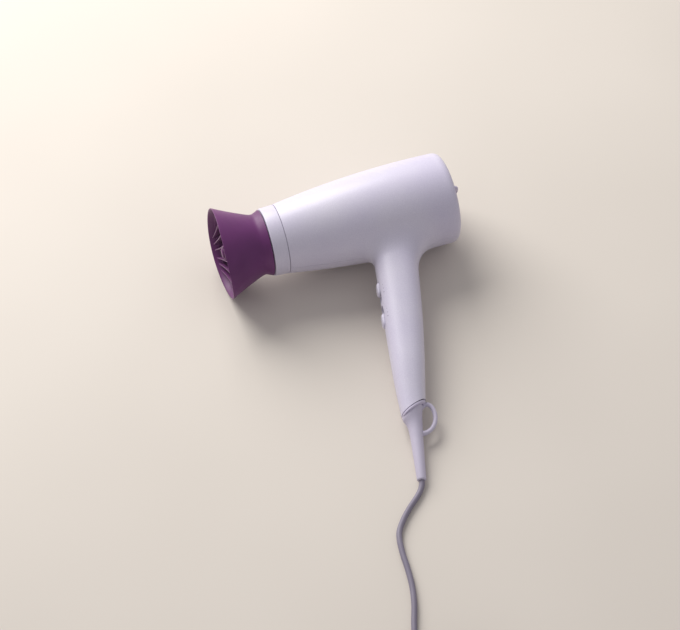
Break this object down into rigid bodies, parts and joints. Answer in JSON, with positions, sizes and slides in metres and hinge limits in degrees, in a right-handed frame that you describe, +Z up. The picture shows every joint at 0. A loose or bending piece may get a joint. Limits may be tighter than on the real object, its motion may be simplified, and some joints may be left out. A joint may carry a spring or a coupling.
{
  "type": "hair dryer with flared diffuser attachment",
  "caption": "Hand-held hair dryer lying on its side, with a flared, bladed diffuser attachment on its outlet and its mains lead.",
  "frame": {"origin": "on the surface it lies on, under the middle of the dryer's box without its lead and plug", "axes": "+X along the barrel from the outlet to the air inlet, -Y towards the handle's cord end, +Z up from the surface"},
  "size_m": [0.2264, 0.5595, 0.0846],
  "materials": {
    "pearl_shell": "satin gloss with a faint pearl",
    "lilac_plastic": "satin",
    "purple_plastic": "satin, finely grained",
    "soft_lilac": "soft matt",
    "lead_sleeve": "matt",
    "black_plastic": "matt",
    "wire_sleeve": "satin",
    "circuit_board": "satin",
    "mica": "dull, flaky",
    "steel": "plain",
    "plated_pin": "nickel plated"
  },
  "bodies": {
    "housing": {"left_housing": "pearl_shell", "right_housing": "pearl_shell", "housing_screw_1": "steel", "housing_screw_2": "steel", "front_ring": "pearl_shell", "outlet_grille": "black_plastic", "heater_tube": "mica", "mica_board_a": "mica", "mica_board_b": "mica", "heating_coil_1": "steel", "heating_coil_2": "steel", "thermostat": "black_plastic", "thermal_fuse": "steel", "fan_duct": "black_plastic", "motor_can": "steel", "motor_end_cap": "black_plastic", "rectifier_board": "circuit_board", "filter_mesh": "steel", "switch_board": "circuit_board", "heat_switch": "black_plastic", "speed_switch": "black_plastic", "cable_clamp": "black_plastic", "clamp_screw_1": "steel", "clamp_screw_2": "steel", "wire_live": "wire_sleeve", "wire_neutral": "wire_sleeve", "wire_heater": "wire_sleeve", "wire_motor": "wire_sleeve", "end_band": "lilac_plastic", "strain_relief": "soft_lilac", "hanging_loop": "soft_lilac", "lead_tube": "lead_sleeve", "lead_coil": "lead_sleeve", "coil_tie": "black_plastic", "plug_body": "lead_sleeve", "plug_relief": "lead_sleeve", "plug_pin_1": "plated_pin", "plug_pin_2": "plated_pin"},
    "fan": {"motor_shaft": "steel", "fan_impeller": "black_plastic"},
    "snap_ring": {"diffuser_snap_ring": "black_plastic"},
    "diffuser": {"diffuser_horn": "purple_plastic", "diffuser_blades": "purple_plastic", "diffuser_hub_cap": "purple_plastic"},
    "inlet_grille": {"rear_grille": "lilac_plastic"},
    "heat_thumb": {"heat_slider": "pearl_shell"},
    "speed_thumb": {"speed_slider": "pearl_shell"}
  },
  "joints": [
    {"name": "fan_spin", "type": "hinge", "parent": "housing", "child": "fan", "pos_m": [0.07, 0.10671, 0.0423], "axis": [1, 0, 0], "continuous": true},
    {"name": "diffuser_pull", "type": "slide", "parent": "housing", "child": "snap_ring", "axis": [-1, 0, 0], "range_m": [0, 0.012]},
    {"name": "diffuser_turn", "type": "hinge", "parent": "snap_ring", "child": "diffuser", "pos_m": [-0.08, 0.10671, 0.0423], "axis": [1, 0, 0], "continuous": true},
    {"name": "grille_turn", "type": "hinge", "parent": "housing", "child": "inlet_grille", "pos_m": [0.1, 0.10671, 0.0423], "axis": [1, 0, 0], "range_deg": [0, 25]},
    {"name": "heat_slide", "type": "slide", "parent": "housing", "child": "heat_thumb", "axis": [-0.1753, -0.974, -0.1438], "range_m": [0, 0.0074]},
    {"name": "speed_slide", "type": "slide", "parent": "housing", "child": "speed_thumb", "axis": [-0.1753, -0.974, -0.1438], "range_m": [-0.0074, 0]}
  ]
}
